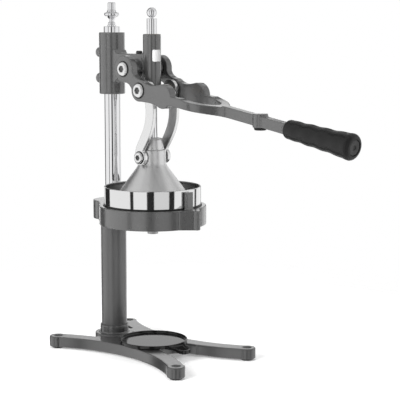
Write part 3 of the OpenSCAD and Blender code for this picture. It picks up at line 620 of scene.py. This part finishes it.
def make_screws():
    side_screws(FULCRUM, "fulcrum_screws", 10.7, 4, 4, 27, "head")
    side_screws(CRANK, "crank_screws", 10.7, 4, 6, 28.2, "lever")
    side_screws(LOW_PIVOT, "link_screws", 8.7, 3.8, 5, 9, "press")

    low, high = extent("clamp_screws")
    head, head_h, dome_h, shank = 8.2, 6.4, 6.3, 5
    seat_x = low.x + head_h
    bm = bmesh.new()
    for z in (low.z + head, high.z - head):
        profile = eased(button_profile(head, dome_h, shank, high.x - seat_x), 0.4, least=30)
        spin(bm, profile, (seat_x, 0, z), Vector((-1, 0, 0)), segments=72)
    finished("clamp_screws_domed", bm, "head", "painted_steel", PAINT_SCREW, "clamp_screws", sharp=32)

    node = "fulcrum_lock_screw"
    low, high = extent(node)
    head, head_h, shank = 5, 4.5, 3
    bm = bmesh.new()
    profile = eased(button_profile(head, head_h, shank, high.z - head_h - low.z), 0.4, least=30)
    spin(bm, profile, (middle(node).x, 0, high.z - head_h), UP, segments=72)
    finished(f"{node}_domed", bm, "head", "black_steel", BLACK_STEEL, node, sharp=32)


def make_seat_shade_rings():
    """Thin black rings round the button heads that stand for the shadow of their seats: painted shade, given
    by their two radii.
    """
    sunk, proud = -0.2, 0.25
    seats = (
        ("fulcrum", FULCRUM, "lever", "lever", 8, 12.1),
        ("crank", CRANK, "lever", "lever", 7, 12.1),
        ("link", LOW_PIVOT, "link_left", "links", 8, 10))
    for name, pivot, node, body, inner, outer in seats:
        face = extent(node)[1].y
        bm = bmesh.new()
        for side in SIDES:
            ring = tube_profile(inner, outer, sunk, proud, 0.1)
            foot = (pivot.x, side * face, pivot.z)
            spin(bm, ring, foot, Vector((0, side, 0)), closed=True, segments=72)
        # Painted shade: black rings where a seat's shadow would fall round each head.
        finished(f"{name}_seat_shade_rings", bm, body, "black_rubber", RUBBER)


# ---- grip, bumper, pads ----


def make_grip():
    near, far, length, bore = 13.5, 18.5, GRIP_LENGTH, 6.52
    waves, wave_depth, wave_start = 4, 0.55, 0.1
    flare_from, flare_most = 0.72, 1.6
    steps = 60
    outside = []
    for k in range(steps + 1):
        t = k / steps
        taper = near + (far - flare_most - near) * t
        swing = wave_depth * math.sin(2 * math.pi * (waves * t - wave_start))
        wave = swing * min(1, 6 * t) * (1 - 0.5 * t)
        flare = flare_most * max(0, (t - flare_from) / (1 - flare_from)) ** 1.5
        outside.append((taper + wave + flare, 5 + t * (length - 13)))
    start = [(bore, 0), (near - 2.6, 0), (near - 0.8, 1.6), (near - 0.1, 3.4)]
    shoulder = 7
    end = arc((far - shoulder, length - shoulder), shoulder, 12, 90, 10)
    cap, recess_floor = 11, length - 4
    recess = [(cap + 0.6, length), (cap + 0.05, length - 0.7), (cap + 0.05, recess_floor)]
    recess.append((bore, recess_floor))
    bm = bmesh.new()
    profile = eased(start + outside + end + recess, 0.6, closed=True)
    spin(bm, profile, GRIP_NEAR, BAR_AXIS, closed=True, segments=128)
    finished("hand_grip_moulded", bm, "lever", "black_rubber", RUBBER, "hand_grip", sharp=60)

    bm = bmesh.new()
    profile = [(0, recess_floor), (cap, recess_floor), (cap, length - 1.1), (cap - 1.2, length - 0.6)]
    profile += [(4.6, length - 0.6), (3.4, length - 1.0), (2.6, length - 2.2), (0, length - 2.4)]
    spin(bm, eased(profile, 0.4), GRIP_NEAR, BAR_AXIS, segments=72)
    finished("grip_end_cap_moulded", bm, "lever", "black_steel", BLACK_STEEL, "grip_end_cap")


def make_bumper():
    low, high = extent("lever_bumper")
    centre = middle("lever_bumper")
    radius = (high.x - low.x) / 2
    bevel = 1.4
    bm = bmesh.new()
    profile = [(0, low.z), (radius - bevel, low.z), (radius, low.z + bevel), (radius, high.z), (0, high.z)]
    spin(bm, eased(profile, 0.7), (centre.x, 0, 0), segments=64)
    finished("lever_bumper_moulded", bm, "lever", "black_rubber", RUBBER, "lever_bumper")


def make_pads():
    low, high = extent("foot_pads")
    radius, hole, bevel = 10, 3.25, 0.8
    profile = eased([(hole, 0), (radius - bevel, 0), (radius, high.z), (hole, high.z)], 0.7, closed=True)
    bm = bmesh.new()
    for x in (low.x + radius, high.x - radius):
        for y in (low.y + radius, high.y - radius):
            spin(bm, profile, (x, y, 0), closed=True, segments=48)
    finished("foot_pads_moulded", bm, "frame", "black_rubber", RUBBER, "foot_pads")


# ---- label and drip tray ----


def make_label():
    """A plain blank label on the front of the guide tube."""
    tube = 13.66
    thickness = 0.18
    low_z, high_z = 452, 469.5
    first, last = math.radians(-41), math.radians(23)
    corner = 0.1
    across, up = 32, 16
    bm = bmesh.new()
    sheets = []
    for lift in (0, thickness):
        rows = []
        for j in range(up + 1):
            v = j / up
            inset = corner * (1 - math.sqrt(max(0, 1 - max(0, 1 - min(v, 1 - v) / corner) ** 2)))
            row = []
            for i in range(across + 1):
                u = inset + (1 - 2 * inset) * i / across
                angle = first + (last - first) * u
                radius = (tube + lift) * MM
                row.append(bm.verts.new((
                    CUP.x * MM + radius * math.cos(angle), radius * math.sin(angle),
                    (low_z + (high_z - low_z) * v) * MM)))
            rows.append(row)
        sheets.append(rows)
    inner, outer = sheets
    for rows in sheets:
        for j in range(up):
            for i in range(across):
                bm.faces.new((rows[j][i], rows[j][i + 1], rows[j + 1][i + 1], rows[j + 1][i]))
    for i in range(across):
        for j in (0, up):
            bm.faces.new((inner[j][i], inner[j][i + 1], outer[j][i + 1], outer[j][i]))
    for j in range(up):
        for i in (0, across):
            bm.faces.new((inner[j][i], inner[j + 1][i], outer[j + 1][i], outer[j][i]))
    finished("blank_label", bm, "head", "black_plastic", LABEL_WHITE)


def make_tray():
    casting("drip_tray_moulded", "drip_tray", "tray", 0.7, 4, GLOSS_BLACK, "black_plastic")


def dress_small_nodes():
    """CAD pieces whose shape is right as it is get their metal."""
    finishes = {
        "tie_bolt": ZINC, "tie_washer": ZINC, "fulcrum_pin": ZINC,
        "strainer": STRAINER_STEEL, "reamer": STRAINER_STEEL,
        "guide_bush_upper": BRONZE, "guide_bush_lower": BRONZE, "lever_bushes": BRONZE, "link_bushes": BRONZE,
        "holder_set_screw": BLACK_STEEL}
    for node, material in finishes.items():
        mesh = frame["nodes"][node].data
        mesh.materials.clear()
        mesh.materials.append(material)


# ---- studio ----

VIEW_AZIMUTH = math.radians(44.3)
VIEW_DOWN = math.radians(7.8)


def make_camera():
    data = bpy.data.cameras.new("camera")
    data.sensor_width = 36
    data.lens = 116.2
    camera = bpy.data.objects.new("camera", data)
    camera.location = (1.4237, -1.3492, 0.5090)
    camera.rotation_euler = (math.pi / 2 - VIEW_DOWN, 0, VIEW_AZIMUTH)
    bpy.context.scene.collection.objects.link(camera)
    bpy.context.scene.camera = camera


def math_node(tree, operation, *values):
    """The result of a sum on numbers and other nodes' outputs."""
    node = tree.nodes.new("ShaderNodeMath")
    node.operation = operation
    for socket, value in zip(node.inputs, values):
        if isinstance(value, (int, float)):
            socket.default_value = value
        else:
            tree.links.new(value, socket)
    return node.outputs[0]


# Cards round the set, as (degrees to the right of the camera, width in degrees, brightness)
CARDS = (
    (-169, 7, 0.05), (-136, 30, 0.03), (-48.5, 8.5, 0.03), (-3, 17, 0.03), (22, 44, 0.8), (48.2, 13.5, 0.03),
    (125, 9, 0.1), (170, 8, 0.05))
# Half the width of a card's soft edge, in degrees
CARD_EDGE = 0.6


def make_world():
    """White all round for the camera; metal also sees the dark cards; the rest is even light."""
    world = bpy.data.worlds.new("studio")
    world.use_nodes = True
    bpy.context.scene.world = world
    tree = world.node_tree
    background = tree.nodes["Background"]
    direction = tree.nodes.new("ShaderNodeTexCoord").outputs["Generated"]
    split = tree.nodes.new("ShaderNodeSeparateXYZ")
    tree.links.new(direction, split.inputs["Vector"])
    bearing = math_node(tree, "ARCTAN2", split.outputs["Y"], split.outputs["X"])
    camera_bearing = VIEW_AZIMUTH - math.pi / 2
    light = None
    for centre, width, bright in CARDS:
        offset = math_node(tree, "SUBTRACT", bearing, camera_bearing + math.radians(centre))
        wrapped = math_node(tree, "WRAP", offset, math.pi, -math.pi)
        distance = math_node(tree, "ABSOLUTE", wrapped)
        edge = tree.nodes.new("ShaderNodeMapRange")
        edge.interpolation_type = "SMOOTHSTEP"
        edge.inputs["From Min"].default_value = math.radians(width / 2 - CARD_EDGE)
        edge.inputs["From Max"].default_value = math.radians(width / 2 + CARD_EDGE)
        edge.inputs["To Min"].default_value = bright
        tree.links.new(distance, edge.inputs["Value"])
        lit = edge.outputs["Result"]
        light = lit if light is None else math_node(tree, "MULTIPLY", light, lit)
    overhead_from, overhead_full, overhead_bright = 10, 24, 0.8
    overhead = tree.nodes.new("ShaderNodeMapRange")
    overhead.interpolation_type = "SMOOTHSTEP"
    overhead.inputs["From Min"].default_value = math.sin(math.radians(overhead_from))
    overhead.inputs["From Max"].default_value = math.sin(math.radians(overhead_full))
    overhead.inputs["To Min"].default_value = 1
    overhead.inputs["To Max"].default_value = overhead_bright
    tree.links.new(split.outputs["Z"], overhead.inputs["Value"])
    studio = math_node(tree, "MULTIPLY", light, overhead.outputs["Result"])
    ray = tree.nodes.new("ShaderNodeLightPath").outputs
    seen = math_node(tree, "MAXIMUM", ray["Is Camera Ray"], ray["Is Transmission Ray"])
    ambient = 0.5
    glossy = math_node(tree, "MULTIPLY", ray["Is Glossy Ray"], studio)
    dull = math_node(tree, "SUBTRACT", 1, math_node(tree, "MAXIMUM", seen, ray["Is Glossy Ray"]))
    even = math_node(tree, "MULTIPLY", dull, ambient)
    total = math_node(tree, "ADD", seen, math_node(tree, "ADD", glossy, even))
    tree.links.new(total, background.inputs["Strength"])
    background.inputs["Color"].default_value = (1, 1, 1, 1)


def area_light(name, place, size, power):
    """A square lamp aimed at the object's middle, which polished metal doesn't show."""
    data = bpy.data.lights.new(name, "AREA")
    data.size = size
    data.energy = power
    lamp = bpy.data.objects.new(name, data)
    lamp.location = place
    aim = Vector((0, 0, 0.25)) - Vector(place)
    lamp.rotation_euler = aim.to_track_quat("-Z", "Y").to_euler()
    lamp.visible_glossy = False
    bpy.context.scene.collection.objects.link(lamp)


def make_lights():
    area_light("key", (0.1, -1.7, 1.0), 1.0, 38)
    area_light("top", (0.1, 0.2, 1.9), 1.2, 16)


def make_floor():
    """A white sweep that takes the shadow and fades out; metal looks through it at the studio."""
    lift = 0.24
    bm = bmesh.new()
    bmesh.ops.create_grid(bm, x_segments=1, y_segments=1, size=6)
    mesh = bpy.data.meshes.new("floor")
    bm.to_mesh(mesh)
    bm.free()
    material = bpy.data.materials.new("white sweep")
    material.use_nodes = True
    tree = material.node_tree
    shader = tree.nodes["Principled BSDF"]
    shader.inputs["Base Color"].default_value = (0.8, 0.8, 0.8, 1)
    shader.inputs["Roughness"].default_value = 0.9
    shader.inputs["Specular IOR Level"].default_value = 0
    shader.inputs["Emission Color"].default_value = (1, 1, 1, 1)
    ray = tree.nodes.new("ShaderNodeLightPath").outputs
    lifted = math_node(tree, "MULTIPLY", ray["Is Camera Ray"], lift)
    tree.links.new(lifted, shader.inputs["Emission Strength"])
    distance = tree.nodes.new("ShaderNodeVectorMath")
    distance.operation = "LENGTH"
    tree.links.new(tree.nodes.new("ShaderNodeTexCoord").outputs["Object"], distance.inputs[0])
    fade = tree.nodes.new("ShaderNodeMapRange")
    fade.interpolation_type = "SMOOTHSTEP"
    fade.inputs["From Min"].default_value = 0.35
    fade.inputs["From Max"].default_value = 0.8
    tree.links.new(distance.outputs["Value"], fade.inputs["Value"])
    faded = math_node(tree, "MULTIPLY", fade.outputs["Result"], ray["Is Camera Ray"])
    clear = tree.nodes.new("ShaderNodeBsdfTransparent")
    choice = tree.nodes.new("ShaderNodeMixShader")
    tree.links.new(math_node(tree, "MAXIMUM", faded, ray["Is Glossy Ray"]), choice.inputs["Fac"])
    tree.links.new(shader.outputs["BSDF"], choice.inputs[1])
    tree.links.new(clear.outputs["BSDF"], choice.inputs[2])
    tree.links.new(choice.outputs["Shader"], tree.nodes["Material Output"].inputs["Surface"])
    mesh.materials.append(material)
    floor = bpy.data.objects.new("floor", mesh)
    bpy.context.scene.collection.objects.link(floor)


make_castings()
make_column()
make_post()
make_finial()
make_cup()
make_nozzle()
make_cup_gap_shade()
make_cone()
make_plunger()
make_screws()
make_seat_shade_rings()
make_grip()
make_bumper()
make_pads()
make_label()
make_tray()
dress_small_nodes()
make_camera()
make_world()
make_lights()
make_floor()
bpy.context.scene.view_settings.view_transform = "Standard"
